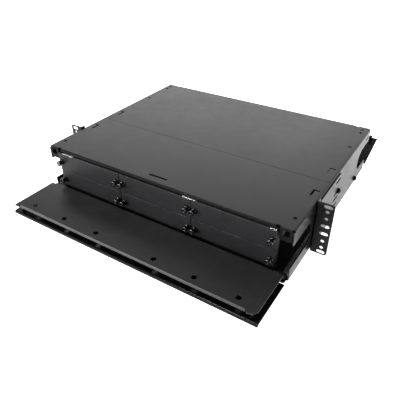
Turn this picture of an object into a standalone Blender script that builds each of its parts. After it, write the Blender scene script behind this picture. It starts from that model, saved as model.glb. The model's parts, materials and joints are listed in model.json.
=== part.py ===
"""A 2U rack-mount fibre termination box with a sliding panel drawer and flip-down doors.

Frame: metres, +Z up, the front faces -Y and X runs along the rack.  The origin is the centre of
the chassis's bottom face.  Sizes below are in millimetres, and MM turns them into metres.
Sheet parts are extruded outlines, and their holes and slots are Boolean cuts.
"""

from math import asin, cos, degrees, pi, radians, sin

import bmesh
import bpy
from mathutils import Matrix, Vector

MM = 0.001
GAP = 0.3                     # clearance between pieces that touch
CUT = 5.0                     # how far a cutter passes the sheet it cuts

# Case
WIDTH = 432.6
DEPTH = 341.0
HEIGHT = 82.5
FRONT = -DEPTH / 2
REAR = DEPTH / 2
SHEET = 1.5
WALL_X = WIDTH / 2 - SHEET    # inner face of a side wall
WALL_TOP = 79.8
COVER_UNDER = HEIGHT - SHEET
COVER_JOINT = FRONT + 130.6   # where the front cover meets the rear one
NOTCH_LOW = 21.0
NOTCH_HIGH = 59.0
FRONT_NOTCH_DEPTH = 68.5
REAR_NOTCH_DEPTH = 55.0
LEDGE = 7.5                   # how far the bottom runs on past each end, under the hinges
LEDGE_HALF = 213.5
WALL_SLOT = (FRONT + 325.0, 70.0)
WALL_SLOT_SIZE = (16.0, 3.4)
GROUND_SCREW = (FRONT + 284.4, 10.7)
SCREW_HEAD = 4.0              # height of a screw's head
SCREW_HEAD_R = 4.4
SCREW_TIP_X = WALL_X - 1.2    # a screw's tip stays clear of the drawer behind the wall

# Openings in the covers
TIE_SLOT_LONG = 17.0
TIE_SLOT_SHORT = 9.0
TIE_SLOT_WIDTH = 2.8
COVER_HOLE_R = 2.8
COVER_SLOT = (-2.5, 14.5)     # X, and distance behind the front edge
COVER_SLOT_SIZE = (33.0, 3.4)
RELIEF = (190.5, 196.5, 3.0)  # X from, X to, depth

# Corner tabs of the covers, which the door latches enter
TAB_INNER = 197.0
TAB_OUTER = WALL_X - GAP
TAB_LOW = 63.0
TAB_DEPTH = 18.0
FLANGE_HALF = 190.0           # the covers' middle flange, between the tabs
FLANGE_LOW = 77.9
LATCH_X = 205.5
LATCH_SQUARE = 9.5

# Rack ears: EIA 2U hole pattern on 465.1 mm centres
EAR_OUTER = 241.3
EAR_FRONT = FRONT + 73.6
EAR_SHEET = 2.0
EAR_HEIGHT = 85.2
EAR_MID = 42.0                # height of the hole pattern's middle
EAR_FLANGE = 102.0
EAR_HOLE_X = 465.1 / 2
EAR_SLOTS = (6.35, 38.1)
EAR_ROUNDS = (19.0, 30.2)
EAR_SLOT_SIZE = (12.0, 5.6)
EAR_ROUND_R = 2.6
EAR_CORNER = 4.0
EAR_SIDE_SLOTS = (25.5, 38.0, 48.5, 70.0)
EAR_SIDE_SLOT_SIZE = (21.0, 4.2)
EAR_SIDE_SLOT_Y = EAR_FRONT + EAR_FLANGE - 13.0
EAR_SIDE_TOP = 78.0
EAR_SCREW = (EAR_FRONT + EAR_FLANGE - 5.0, 48.5)

# Drawer
DRAWER_SHEET = 1.2
TRAY_HALF = 212.9
TRAY_LOW = 8.0
TRAY_FRONT = FRONT - 91.0
APRON_REAR = FRONT - 8.8
APRON_TOP = 18.2
TRAY_REAR = FRONT + 199.0
TRAY_UPSTAND = 22.0
TRAY_CORNER_R = {-1: 1.5, 1: 11.0}       # the left front corner is nearly square
LIP_HALF = 199.0
LIP_RISE = 4.1                # how far the lip stands above the apron
LIP_LEAN = 2.1                # how far its top edge leans back
LIP_FOOT = 1.6
STEP_HALF = 205.3
TIE_HOLE_R = 4.0
GUIDE_SLACK = 0.4
GUIDE_LIP_X = 206.5
GUIDE_Y = (FRONT + 3.0, FRONT + 276.0)
TIE_HOLES = (52.4, 117.6, 182.5)
TIE_HOLE_Y = FRONT - 75.0

# Adapter panels: two rows of three
PANEL_PITCH_X = 130.0
PANEL_PITCH_Z = 32.7
PANEL_SIZE = (128.6, 32.3)
PANEL_LOW_Z = 27.6
PANEL_SHEET = 1.5
PANEL_FRONT = FRONT - 2.4
PLUNGER_X = 59.0
FRAME_FRONT = PANEL_FRONT + PANEL_SHEET + GAP
FRAME_HALF = 195.2
FRAME_TOP = PANEL_LOW_Z + PANEL_PITCH_Z + PANEL_SIZE[1] / 2
FRAME_OPENING = (104.0, 25.0)
FRAME_FLANGE = 8.0
FRAME_FOOT = 15.0
GROMMET_HOLE_R = 3.3

# Fibre storage on the drawer, behind the panels
FLOOR_Z = TRAY_LOW + DRAWER_SHEET + GAP
SPOOL_X = 125.0
SPOOL_Y = FRONT + 105.0
SPLICE_HALF = (48.0, 78.0)
SPLICE_Y = FRONT + 106.0
SPLICE_DEPTH = 11.0
SPLICE_WALL = 1.6
SPLICE_CORNER_R = 8.0

# Doors, in their own frame: U runs from the hinge axis to the free edge, V points into the case
AXIS_OUT = 10.8               # hinge axis ahead of the case's end
AXIS_Z = 3.2
DOOR_HALF = 217.0
DOOR_U = (3.0, 80.3)
DOOR_V = (1.3, 2.65)
DOOR_LIP_V = -2.2
DOOR_LIP_SHEET = 1.2
TONGUE_V = (1.4, 2.5)
LATCH_U = 71.5
LATCH_HOLE_R = 3.4
HINGE_X = 150.0
KNUCKLE_R = 2.9
PIN_R = 1.2
PIN_HOLE_R = 1.5
LEAF_HALF = 8.0
KNUCKLE_OUTER = 20.0
REAR_DOOR_ANGLE = radians(15.0)

BLACK = (0.045, 0.045, 0.048)
DARK = (0.03, 0.03, 0.032)
STEEL = (0.55, 0.56, 0.57)
WHITE = (0.75, 0.75, 0.73)


# ---------------------------------------------------------------- helpers

def clear_scene():
    for obj in list(bpy.data.objects):
        bpy.data.objects.remove(obj, do_unlink=True)


def material(name, color, roughness, metallic=0.0):
    mat = bpy.data.materials.get(name) or bpy.data.materials.new(name)
    mat.use_nodes = True
    shader = mat.node_tree.nodes["Principled BSDF"]
    shader.inputs["Base Color"].default_value = (*color, 1.0)
    shader.inputs["Roughness"].default_value = roughness
    shader.inputs["Metallic"].default_value = metallic
    return mat


def place(name, bm, mat=None, origin=(0.0, 0.0, 0.0), smooth=False):
    """Turn a bmesh drawn in millimetres into an object whose origin is at `origin`, in mm."""
    shift = Vector(origin)
    for vert in bm.verts:
        vert.co = (vert.co - shift) * MM
    bmesh.ops.recalc_face_normals(bm, faces=bm.faces)
    mesh = bpy.data.meshes.new(name)
    bm.to_mesh(mesh)
    bm.free()
    obj = bpy.data.objects.new(name, mesh)
    obj.location = shift * MM
    bpy.context.scene.collection.objects.link(obj)
    if mat:
        mesh.materials.append(mat)
    if smooth:
        mesh.shade_smooth()
        mesh.set_sharp_from_angle(angle=radians(35))
    return obj


def add_prism(bm, outline, axis, low, high):
    """Extrude a closed outline along X, Y or Z.  Its points are the other two coordinates."""
    def point(u, v, w):
        if axis == "X":
            return (w, u, v)
        if axis == "Y":
            return (u, w, v)
        return (u, v, w)
    bottom = [bm.verts.new(point(u, v, low)) for u, v in outline]
    top = [bm.verts.new(point(u, v, high)) for u, v in outline]
    bm.faces.new(bottom)
    bm.faces.new(reversed(top))
    count = len(outline)
    for i in range(count):
        j = (i + 1) % count
        bm.faces.new((bottom[i], top[i], top[j], bottom[j]))


def add_box(bm, low, high):
    outline = [(low[0], low[1]), (high[0], low[1]), (high[0], high[1]), (low[0], high[1])]
    add_prism(bm, outline, "Z", low[2], high[2])


def arc(center, radius, start, end, steps):
    """Points on a circle from `start` to `end` degrees, both included."""
    points = []
    for i in range(steps + 1):
        angle = radians(start + (end - start) * i / steps)
        points.append((center[0] + radius * cos(angle), center[1] + radius * sin(angle)))
    return points


def circle(center, radius, steps=16):
    return arc(center, radius, 0, 360, steps)[:-1]


def slot(center, length, width, steps=6):
    """A slot with round ends, long along the outline's first coordinate."""
    radius = width / 2
    reach = length / 2 - radius
    right = arc((center[0] + reach, center[1]), radius, -90, 90, steps)
    left = arc((center[0] - reach, center[1]), radius, 90, 270, steps)
    return right + left


def round_rect(low, high, radius, steps=4):
    corners = ((high[0], low[1], -90), (high[0], high[1], 0), (low[0], high[1], 90), (low[0], low[1], 180))
    points = []
    for x, y, start in corners:
        cx = x - radius if x == high[0] else x + radius
        cy = y - radius if y == high[1] else y + radius
        points += arc((cx, cy), radius, start, start + 90, steps)
    return points


def add_turned(bm, profile, center, axis, steps=16):
    """Revolve a profile of (radius, height) about an axis through `center`.

    Where both ends of the profile have radius 0 it closes on the axis, otherwise it closes on
    itself as a ring.
    """
    turn = {"X": Matrix.Rotation(pi / 2, 3, "Y"), "Y": Matrix.Rotation(-pi / 2, 3, "X"),
            "Z": Matrix.Identity(3)}[axis]
    rings = []
    for radius, height in profile:
        count = 1 if radius == 0 else steps
        ring = []
        for i in range(count):
            angle = 2 * pi * i / steps
            local = turn @ Vector((radius * cos(angle), radius * sin(angle), height))
            ring.append(bm.verts.new(local + Vector(center)))
        rings.append(ring)
    pairs = list(zip(rings, rings[1:]))
    if profile[0][0] > 0:
        pairs.append((rings[-1], rings[0]))
    for first, second in pairs:
        for i in range(steps):
            j = (i + 1) % steps
            if len(first) == 1:
                bm.faces.new((first[0], second[i], second[j]))
            elif len(second) == 1:
                bm.faces.new((first[i], first[j], second[0]))
            else:
                bm.faces.new((first[i], first[j], second[j], second[i]))


def corner_trim(corner, side, inward, radius, steps):
    """What rounds an outline's corner off: `side` and `inward` are -1 or 1 and say where the corner points."""
    center = (corner[0] - radius * side, corner[1] + radius * inward)
    points = [(corner[0] + side, corner[1] - inward), (corner[0] + side, center[1]), (corner[0], center[1])]
    for i in range(1, steps):
        angle = pi / 2 * i / steps
        points.append((center[0] + radius * cos(angle) * side, center[1] - radius * sin(angle) * inward))
    points += [(center[0], corner[1]), (center[0], corner[1] - inward)]
    return points


def boolean(obj, bm, operation):
    """Cut a bmesh from an object, or join it on, in the world frame."""
    tool = place(f"{obj.name}_{operation.lower()}_{len(obj.modifiers)}", bm)
    tool.hide_render = True
    tool.display_type = "WIRE"
    modifier = obj.modifiers.new(operation.title(), "BOOLEAN")
    modifier.operation = operation
    modifier.object = tool
    return tool


def flat_tool(obj, shapes, axis, operation="DIFFERENCE"):
    """One Boolean made of several extruded outlines: (outline, low, high)."""
    bm = bmesh.new()
    for outline, low, high in shapes:
        add_prism(bm, outline, axis, low, high)
    return boolean(obj, bm, operation)


# ---------------------------------------------------------------- case

def chassis(mat):
    """The pan: a bottom and two side walls, each wall with a cable notch at either end."""
    half = WIDTH / 2
    outline = [(-half, 0), (half, 0), (half, WALL_TOP), (WALL_X, WALL_TOP), (WALL_X, SHEET),
               (-WALL_X, SHEET), (-WALL_X, WALL_TOP), (-half, WALL_TOP)]
    bm = bmesh.new()
    add_prism(bm, outline, "Y", FRONT, REAR)
    pan = place("chassis_pan", bm, mat)
    ledges = bmesh.new()
    for low, high in ((FRONT - LEDGE, FRONT + CUT), (REAR - CUT, REAR + LEDGE)):
        add_box(ledges, (-LEDGE_HALF, low, 0), (LEDGE_HALF, high, SHEET))
    boolean(pan, ledges, "UNION")
    mid = (NOTCH_LOW + NOTCH_HIGH) / 2
    width = NOTCH_HIGH - NOTCH_LOW
    notches = []
    for end, depth in ((FRONT, FRONT_NOTCH_DEPTH), (REAR, -REAR_NOTCH_DEPTH)):
        inner = end + depth
        outer = end - width * (1 if depth > 0 else -1)
        outline = slot(((inner + outer) / 2, mid), abs(inner - outer), width, 12)
        notches.append((outline, -half - CUT, half + CUT))
    notches.append((slot(WALL_SLOT, *WALL_SLOT_SIZE, 3), -half - CUT, half + CUT))
    notches.append((circle(EAR_SCREW, 1.8, 12), -half - CUT, half + CUT))
    flat_tool(pan, notches, "X")
    flat_tool(pan, [(circle(GROUND_SCREW, 2.0, 12), half - CUT, half + CUT)], "X")


def cover(name, mat, end, tie_slot_y, holes_y):
    """A top plate with a low flange and two corner tabs bent down at its open end."""
    half = WIDTH / 2
    inward = 1 if end == FRONT else -1
    low, high = sorted((end, COVER_JOINT - GAP / 2 * inward))
    bm = bmesh.new()
    add_prism(bm, [(-half, low), (half, low), (half, high), (-half, high)], "Z", COVER_UNDER, HEIGHT)
    plate = place(name, bm, mat)

    tabs = bmesh.new()
    for side in (-1, 1):
        tab = [(TAB_INNER * side, end), (TAB_OUTER * side, end),
               (TAB_OUTER * side, end + SHEET * inward), ((TAB_INNER + SHEET) * side, end + SHEET * inward),
               ((TAB_INNER + SHEET) * side, end + TAB_DEPTH * inward),
               (TAB_INNER * side, end + TAB_DEPTH * inward)]
        add_prism(tabs, tab, "Z", TAB_LOW, COVER_UNDER + 0.5)
    near, far = sorted((end, end + SHEET * inward))
    add_box(tabs, (-FLANGE_HALF, near, FLANGE_LOW), (FLANGE_HALF, far, COVER_UNDER + 0.5))
    boolean(plate, tabs, "UNION")

    latch_z = AXIS_Z + LATCH_U
    squares = bmesh.new()
    for side in (-1, 1):
        reach = LATCH_SQUARE / 2
        add_box(squares, (LATCH_X * side - reach, end - CUT, latch_z - reach),
                (LATCH_X * side + reach, end + CUT, latch_z + reach))
    boolean(plate, squares, "DIFFERENCE")

    outlines = []
    for side in (-1, 1):
        left = LATCH_X - TIE_SLOT_SHORT / 2
        bend = tie_slot_y + TIE_SLOT_LONG - TIE_SLOT_WIDTH
        rear = tie_slot_y + TIE_SLOT_LONG
        hook = [(left, tie_slot_y), (left + TIE_SLOT_WIDTH, tie_slot_y), (left + TIE_SLOT_WIDTH, bend),
                (left + TIE_SLOT_SHORT, bend), (left + TIE_SLOT_SHORT, rear), (left, rear)]
        outlines.append([(x * side, y) for x, y in hook])
        outlines += [circle((LATCH_X * side, y), COVER_HOLE_R, 12) for y in holes_y]
        inner, outer, depth = RELIEF[0] * side, RELIEF[1] * side, RELIEF[2] * inward
        outlines.append([(inner, end - CUT * inward), (outer, end - CUT * inward), (outer, end + depth),
                         (inner, end + depth)])
    if end == FRONT:
        outlines.append(slot((COVER_SLOT[0], end + COVER_SLOT[1]), *COVER_SLOT_SIZE, 3))
    flat_tool(plate, [(outline, COVER_UNDER - CUT, HEIGHT + CUT) for outline in outlines], "Z")


def rack_ear(name, mat, side):
    """An L bracket: a slotted plate across the rack rail and a slotted flange on the wall."""
    wall = (WIDTH / 2 + GAP) * side
    outer = EAR_OUTER * side
    flange = (abs(wall) + EAR_SHEET) * side
    rear = EAR_FRONT + EAR_FLANGE
    outline = [(wall, EAR_FRONT), (outer, EAR_FRONT), (outer, EAR_FRONT + EAR_SHEET),
               (flange, EAR_FRONT + EAR_SHEET), (flange, rear), (wall, rear)]
    bm = bmesh.new()
    add_prism(bm, outline, "Z", 0, EAR_HEIGHT)
    ear = place(name, bm, mat)

    holes = []
    for step in EAR_SLOTS:
        for sign in (-1, 1):
            holes.append(slot((EAR_HOLE_X * side, EAR_MID + step * sign), *EAR_SLOT_SIZE))
    for step in EAR_ROUNDS:
        for sign in (-1, 1):
            holes.append(circle((EAR_HOLE_X * side, EAR_MID + step * sign), EAR_ROUND_R, 12))
    flat_tool(ear, [(hole, EAR_FRONT - CUT, EAR_FRONT + CUT) for hole in holes], "Y")

    side_cuts = [slot((EAR_SIDE_SLOT_Y, z), *EAR_SIDE_SLOT_SIZE, 4) for z in EAR_SIDE_SLOTS]
    shoulder = EAR_FRONT + 8.0
    side_cuts.append([(shoulder, EAR_SIDE_TOP), (rear + CUT, EAR_SIDE_TOP), (rear + CUT, EAR_HEIGHT + CUT),
                      (shoulder, EAR_HEIGHT + CUT)])
    low, high = sorted((wall - CUT * side, flange + CUT * side))
    flat_tool(ear, [(shape, low, high) for shape in side_cuts], "X")

    trims = [corner_trim((outer, z), side, inward, EAR_CORNER, 6) for z, inward in ((0, 1), (EAR_HEIGHT, -1))]
    flat_tool(ear, [(trim, EAR_FRONT - CUT, EAR_FRONT + CUT) for trim in trims], "Y")


def drawer_guide(name, mat, side):
    """A C channel on the wall that the drawer's base slides in."""
    web_out = (WALL_X - GAP) * side
    web_in = (TRAY_HALF + GUIDE_SLACK) * side
    lip = GUIDE_LIP_X * side
    low, high = TRAY_LOW - GUIDE_SLACK, TRAY_LOW + DRAWER_SHEET + GUIDE_SLACK
    thick = DRAWER_SHEET
    outline = [(web_out, low - thick), (lip, low - thick), (lip, low), (web_in, low), (web_in, high),
               (lip, high), (lip, high + thick), (web_out, high + thick)]
    bm = bmesh.new()
    add_prism(bm, outline, "Y", *GUIDE_Y)
    place(name, bm, mat)


# ---------------------------------------------------------------- drawer

def drawer_tray(mat):
    """One bent sheet: a raised front apron with a lip, a step down, the base and a rear upstand."""
    thick = DRAWER_SHEET
    step = APRON_REAR
    base_top = TRAY_LOW + thick
    outline = [(TRAY_FRONT, APRON_TOP), (step, APRON_TOP), (step, base_top),
               (TRAY_REAR - thick, base_top), (TRAY_REAR - thick, TRAY_UPSTAND), (TRAY_REAR, TRAY_UPSTAND),
               (TRAY_REAR, TRAY_LOW), (step - thick, TRAY_LOW), (step - thick, APRON_TOP - thick),
               (TRAY_FRONT, APRON_TOP - thick)]
    bm = bmesh.new()
    add_prism(bm, outline, "X", -TRAY_HALF, TRAY_HALF)
    tray = place("drawer_tray", bm, mat)

    root = APRON_TOP - thick + 0.4
    top = APRON_TOP + LIP_RISE
    lean = TRAY_FRONT + LIP_LEAN
    foot = TRAY_FRONT + 0.2
    lip = [(foot, root), (foot + LIP_FOOT, root), (lean + thick, top - 0.5), (lean, top)]
    flat_tool(tray, [(lip, -LIP_HALF, LIP_HALF)], "X", "UNION")

    cuts = bmesh.new()
    for side in (-1, 1):
        inner, outer = sorted((STEP_HALF * side, (TRAY_HALF + CUT) * side))
        add_box(cuts, (inner, step - CUT, base_top + 0.1), (outer, step + CUT, APRON_TOP - thick - 0.001))
        add_box(cuts, (inner, TRAY_REAR - CUT, base_top + 0.1), (outer, TRAY_REAR + CUT, TRAY_UPSTAND + CUT))
    boolean(tray, cuts, "DIFFERENCE")

    shapes = [circle((x * side, TIE_HOLE_Y), TIE_HOLE_R, 16) for x in TIE_HOLES for side in (-1, 1)]
    shapes += [corner_trim((TRAY_HALF * side, TRAY_FRONT), side, 1, TRAY_CORNER_R[side], 8) for side in (-1, 1)]
    flat_tool(tray, [(shape, APRON_TOP - CUT, APRON_TOP + CUT) for shape in shapes], "Z")


def panel_centers():
    """(row, column, x, z) of the six adapter panels."""
    return [(row, col, (col - 1) * PANEL_PITCH_X, PANEL_LOW_Z + row * PANEL_PITCH_Z)
            for row in range(2) for col in range(3)]


def plunger_centers():
    return [(f"r{row + 1}c{col + 1}_{hand}", x + PLUNGER_X * sign, z)
            for row, col, x, z in panel_centers() for hand, sign in (("left", -1), ("right", 1))]


def panel_frame(mat):
    """The bulkhead that holds the panels: flanged all round, with an opening behind each panel."""
    thick = DRAWER_SHEET
    front = FRAME_FRONT
    back = front + thick
    flange = front + FRAME_FLANGE
    foot = front + FRAME_FOOT
    outline = [(front, FLOOR_Z), (foot, FLOOR_Z), (foot, FLOOR_Z + thick), (back, FLOOR_Z + thick),
               (back, FRAME_TOP - thick), (flange, FRAME_TOP - thick), (flange, FRAME_TOP), (front, FRAME_TOP)]
    bm = bmesh.new()
    add_prism(bm, outline, "X", -FRAME_HALF, FRAME_HALF)
    frame = place("panel_frame", bm, mat)
    ends = bmesh.new()
    for side in (-1, 1):
        inner, outer = sorted(((FRAME_HALF - thick) * side, FRAME_HALF * side))
        add_box(ends, (inner, front + 0.5, FLOOR_Z + 0.5), (outer, flange, FRAME_TOP - 0.5))
    boolean(frame, ends, "UNION")
    half_w, half_h = FRAME_OPENING[0] / 2, FRAME_OPENING[1] / 2
    holes = [[(x - half_w, z - half_h), (x + half_w, z - half_h),
              (x + half_w, z + half_h), (x - half_w, z + half_h)] for _, _, x, z in panel_centers()]
    holes += [circle((x, z), GROMMET_HOLE_R, 12) for _, x, z in plunger_centers()]
    flat_tool(frame, [(hole, front - CUT, front + CUT) for hole in holes], "Y")


def blank_panel(name, mat, x, z):
    half_w, half_h = PANEL_SIZE[0] / 2, PANEL_SIZE[1] / 2
    bm = bmesh.new()
    add_prism(bm, round_rect((x - half_w, z - half_h), (x + half_w, z + half_h), 1.5, 3), "Y",
              PANEL_FRONT, PANEL_FRONT + PANEL_SHEET)
    panel = place(name, bm, mat)
    holes = [(circle((x + PLUNGER_X * sign, z), GROMMET_HOLE_R, 12), PANEL_FRONT - CUT, PANEL_FRONT + CUT)
             for sign in (-1, 1)]
    flat_tool(panel, holes, "Y")


def panel_grommet(name, mat, x, z):
    """A flanged bush through panel and frame, hollow for the plunger's pin."""
    face = PANEL_FRONT - GAP
    profile = [(1.7, -2.6), (4.4, -2.6), (4.8, -2.0), (4.8, 0), (3.0, 0), (3.0, 5.0), (1.7, 5.6)]
    bm = bmesh.new()
    add_turned(bm, profile, (x, face, z), "Y", 12)
    place(name, bm, mat, (x, face, z), smooth=True)


def panel_plunger(name, mat, x, z):
    """A round knob on a pin.  Pushed in it spreads the bush, pulled out it frees the panel."""
    face = PANEL_FRONT - GAP
    profile = [(0, -8.6), (3.9, -8.6), (4.5, -8.0), (4.5, -5.6), (3.6, -4.6), (3.6, -2.9),
               (1.4, -2.9), (1.4, 6.2), (0, 6.8)]
    bm = bmesh.new()
    add_turned(bm, profile, (x, face, z), "Y", 12)
    place(name, bm, mat, (x, face, z), smooth=True)


def fibre_spool(name, mat, x):
    """A slack spool: a round hub between a base flange and a top flange."""
    center = (x, SPOOL_Y, FLOOR_Z)
    profile = [(0, 0), (34.0, 0), (34.0, 1.8), (24.0, 1.8), (24.0, 22.0), (34.0, 22.0), (34.0, 24.0), (0, 24.0)]
    bm = bmesh.new()
    add_turned(bm, profile, center, "Z", 32)
    place(name, bm, mat, center, smooth=True)


def splice_outline(inset):
    half_x, half_y = (half - inset for half in SPLICE_HALF)
    return round_rect((-half_x, SPLICE_Y - half_y), (half_x, SPLICE_Y + half_y), SPLICE_CORNER_R - inset)


def splice_tray(mat):
    """An open box for the splices, fixed to the drawer between the spools, with two ports at its rear."""
    top = FLOOR_Z + SPLICE_DEPTH
    bm = bmesh.new()
    add_prism(bm, splice_outline(0.0), "Z", FLOOR_Z, top)
    tray = place("splice_tray", bm, mat)
    flat_tool(tray, [(splice_outline(SPLICE_WALL), FLOOR_Z + SPLICE_WALL, top + CUT)], "Z")
    ports = bmesh.new()
    rear = SPLICE_Y + SPLICE_HALF[1]
    for side in (-1, 1):
        near, far = sorted((24.0 * side, 38.0 * side))
        add_box(ports, (near, rear - CUT, FLOOR_Z + SPLICE_DEPTH / 2), (far, rear + CUT, top + CUT))
    boolean(tray, ports, "DIFFERENCE")


def splice_lid(mat):
    low = FLOOR_Z + SPLICE_DEPTH + GAP
    bm = bmesh.new()
    add_prism(bm, splice_outline(0.0), "Z", low, low + 1.4)
    place("splice_tray_lid", bm, mat)


# ---------------------------------------------------------------- doors

def door(name, mat, end, angle, turn):
    """A flip-down door, drawn about its hinge axis: +Y is U, +Z is V.

    `turn` swings the drawing about Z for the front door, and `angle` tilts it about its axis.
    """
    bm = bmesh.new()
    inside = DOOR_U[1] - DOOR_LIP_SHEET       # inner face of the lip
    outline = [(DOOR_U[0], DOOR_V[0]), (inside, DOOR_V[0]), (inside, DOOR_LIP_V), (DOOR_U[1], DOOR_LIP_V),
               (DOOR_U[1], DOOR_V[1]), (DOOR_U[0], DOOR_V[1])]
    add_prism(bm, outline, "X", -DOOR_HALF, DOOR_HALF)
    leaf = place(name, bm, mat)

    tongue_bottom, tongue_top = (degrees(asin(v / KNUCKLE_R)) for v in TONGUE_V)
    knuckles = bmesh.new()
    for hinge in (-HINGE_X, HINGE_X):
        for near, far in ((-KNUCKLE_OUTER, -LEAF_HALF - GAP), (LEAF_HALF + GAP, KNUCKLE_OUTER)):
            wrap = arc((0, 0), KNUCKLE_R, tongue_top, tongue_bottom + 360, 16)
            wrap += [(DOOR_U[0] + 1, TONGUE_V[0]), (DOOR_U[0] + 1, TONGUE_V[1])]
            add_prism(knuckles, wrap, "X", hinge + near, hinge + far)
    tools = [boolean(leaf, knuckles, "UNION")]

    bores = bmesh.new()
    for hinge in (-HINGE_X, HINGE_X):
        reach = KNUCKLE_OUTER + CUT
        add_prism(bores, circle((0, 0), PIN_HOLE_R, 12), "X", hinge - reach, hinge + reach)
    tools.append(boolean(leaf, bores, "DIFFERENCE"))
    holes = bmesh.new()
    for side in (-1, 1):
        add_prism(holes, circle((LATCH_X * side, LATCH_U), LATCH_HOLE_R, 16), "Z", -CUT, CUT)
    tools.append(boolean(leaf, holes, "DIFFERENCE"))

    pose = door_pose(end, angle, turn)
    for obj in [leaf] + tools:
        obj.matrix_world = pose


def door_pose(end, angle, turn):
    """World matrix of a door's own frame."""
    outward = -1 if turn else 1
    axis = Vector((0, end + AXIS_OUT * outward, AXIS_Z)) * MM
    spin = Matrix.Rotation(pi, 4, "Z") if turn else Matrix.Identity(4)
    return Matrix.Translation(axis) @ spin @ Matrix.Rotation(angle, 4, "X")


def door_latch(name, mat, side, end, angle, turn):
    """A push-pull latch: a flat outer knob and a tapered head that enters the corner tab."""
    head_r = LATCH_HOLE_R - GAP
    profile = [(0, -1.0), (5.6, -1.0), (6.0, -0.6), (6.0, 1.0), (head_r, 1.0), (head_r, 11.0), (2.2, 12.6),
               (0, 12.6)]
    bm = bmesh.new()
    add_turned(bm, profile, (0, 0, 0), "Z", 16)
    latch = place(name, bm, mat, smooth=True)
    seat = Matrix.Translation(Vector((LATCH_X * side, LATCH_U, 0)) * MM)
    latch.matrix_world = door_pose(end, angle, turn) @ seat


def hinge_leaf(name, mat, x, end):
    """The fixed half of a hinge: a leaf on the chassis floor and the middle knuckle."""
    outward = -1 if end < 0 else 1
    axis_y = end + AXIS_OUT * outward
    low, high = SHEET + GAP, SHEET + GAP + 1.2
    bm = bmesh.new()
    add_prism(bm, circle((axis_y, AXIS_Z), KNUCKLE_R, 20), "X", x - LEAF_HALF, x + LEAF_HALF)
    leaf = place(name, bm, mat)
    plate = bmesh.new()
    near, far = sorted((axis_y, end - 12.0 * outward))
    add_box(plate, (x - LEAF_HALF, near, low), (x + LEAF_HALF, far, high))
    boolean(leaf, plate, "UNION")
    wide = bmesh.new()
    near, far = sorted((end - 1.0 * outward, end - 12.5 * outward))
    add_box(wide, (x - KNUCKLE_OUTER, near, low - 0.001), (x + KNUCKLE_OUTER, far, high + 0.001))
    boolean(leaf, wide, "UNION")
    flat_tool(leaf, [(circle((axis_y, AXIS_Z), PIN_HOLE_R, 12), x - LEAF_HALF - CUT, x + LEAF_HALF + CUT)], "X")


def hinge_pin(name, mat, x, end):
    axis_y = end + AXIS_OUT * (-1 if end < 0 else 1)
    half = KNUCKLE_OUTER + 0.5
    profile = [(0, -half), (PIN_R, -half), (PIN_R, half), (0, half)]
    bm = bmesh.new()
    add_turned(bm, profile, (x, axis_y, AXIS_Z), "X", 12)
    place(name, bm, mat, (x, axis_y, AXIS_Z), smooth=True)


def wall_screw(name, mat, center, seat, tip, shank_r):
    """A pan-head screw through the side wall at (Y, Z), seated at x = `seat` with its tip at `tip`."""
    head_r = SCREW_HEAD_R
    side = 1 if seat > 0 else -1
    profile = [(0, tip - seat), (shank_r, tip - seat), (shank_r, 0), (head_r, 0),
               (head_r, 0.65 * SCREW_HEAD * side), (head_r * 0.6, SCREW_HEAD * side), (0, SCREW_HEAD * side)]
    bm = bmesh.new()
    add_turned(bm, profile, (seat, *center), "X", 16)
    place(name, bm, mat, (seat, *center), smooth=True)


# ---------------------------------------------------------------- assembly

def build():
    clear_scene()
    coat = material("black_powder_coat", BLACK, 0.55)
    door_coat = material("door_coat", DARK, 0.35)
    steel = material("zinc_steel", STEEL, 0.4, 1.0)
    nylon = material("black_nylon", DARK, 0.4)
    plastic = material("white_plastic", WHITE, 0.5)

    chassis(coat)
    cover("front_cover", coat, FRONT, FRONT + 86.0, (FRONT + 26.0,))
    cover("rear_cover", coat, REAR, FRONT + 155.0, (FRONT + 253.0, FRONT + 314.0, FRONT + 327.0))
    sides = (("left", -1), ("right", 1))
    for hand, side in sides:
        rack_ear(f"rack_ear_{hand}", coat, side)
        drawer_guide(f"drawer_guide_{hand}", steel, side)
        fibre_spool(f"fibre_spool_{hand}", nylon, SPOOL_X * side)
        seat = (WIDTH / 2 + GAP + EAR_SHEET + GAP) * side
        wall_screw(f"ear_screw_{hand}", nylon, EAR_SCREW, seat, SCREW_TIP_X * side, 1.4)
    wall_screw("ground_screw", nylon, GROUND_SCREW, WIDTH / 2 + GAP, SCREW_TIP_X, 1.6)

    drawer_tray(coat)
    panel_frame(coat)
    for row, col, x, z in panel_centers():
        blank_panel(f"blank_panel_r{row + 1}c{col + 1}", coat, x, z)
    for tag, x, z in plunger_centers():
        panel_grommet(f"grommet_{tag}", nylon, x, z)
        panel_plunger(f"plunger_{tag}", nylon, x, z)
    splice_tray(plastic)
    splice_lid(plastic)

    for place_name, end, angle, turn in (("front", FRONT, 0.0, True), ("rear", REAR, REAR_DOOR_ANGLE, False)):
        door(f"{place_name}_door", door_coat, end, angle, turn)
        for hand, side in sides:
            door_side = -side if turn else side
            door_latch(f"{place_name}_latch_{hand}", nylon, door_side, end, angle, turn)
            hinge_leaf(f"{place_name}_hinge_leaf_{hand}", steel, HINGE_X * side, end)
            hinge_pin(f"{place_name}_hinge_pin_{hand}", steel, HINGE_X * side, end)


build()
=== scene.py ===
"""The looks of a 2U rack-mount fibre termination box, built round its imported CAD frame.

Sheet-metal pieces are cut flat, with rounded edges, and then folded along their bend lines as a
press brake would.  Sizes are in millimetres in the frame's own axes (+Z up, front at -Y) and MM
turns them into metres.  Places come from the CAD nodes' boxes wherever a node has them.
"""

import json
from math import cos, pi, radians, sin, tan

import bmesh
import bpy
from mathutils import Matrix, Vector


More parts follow.
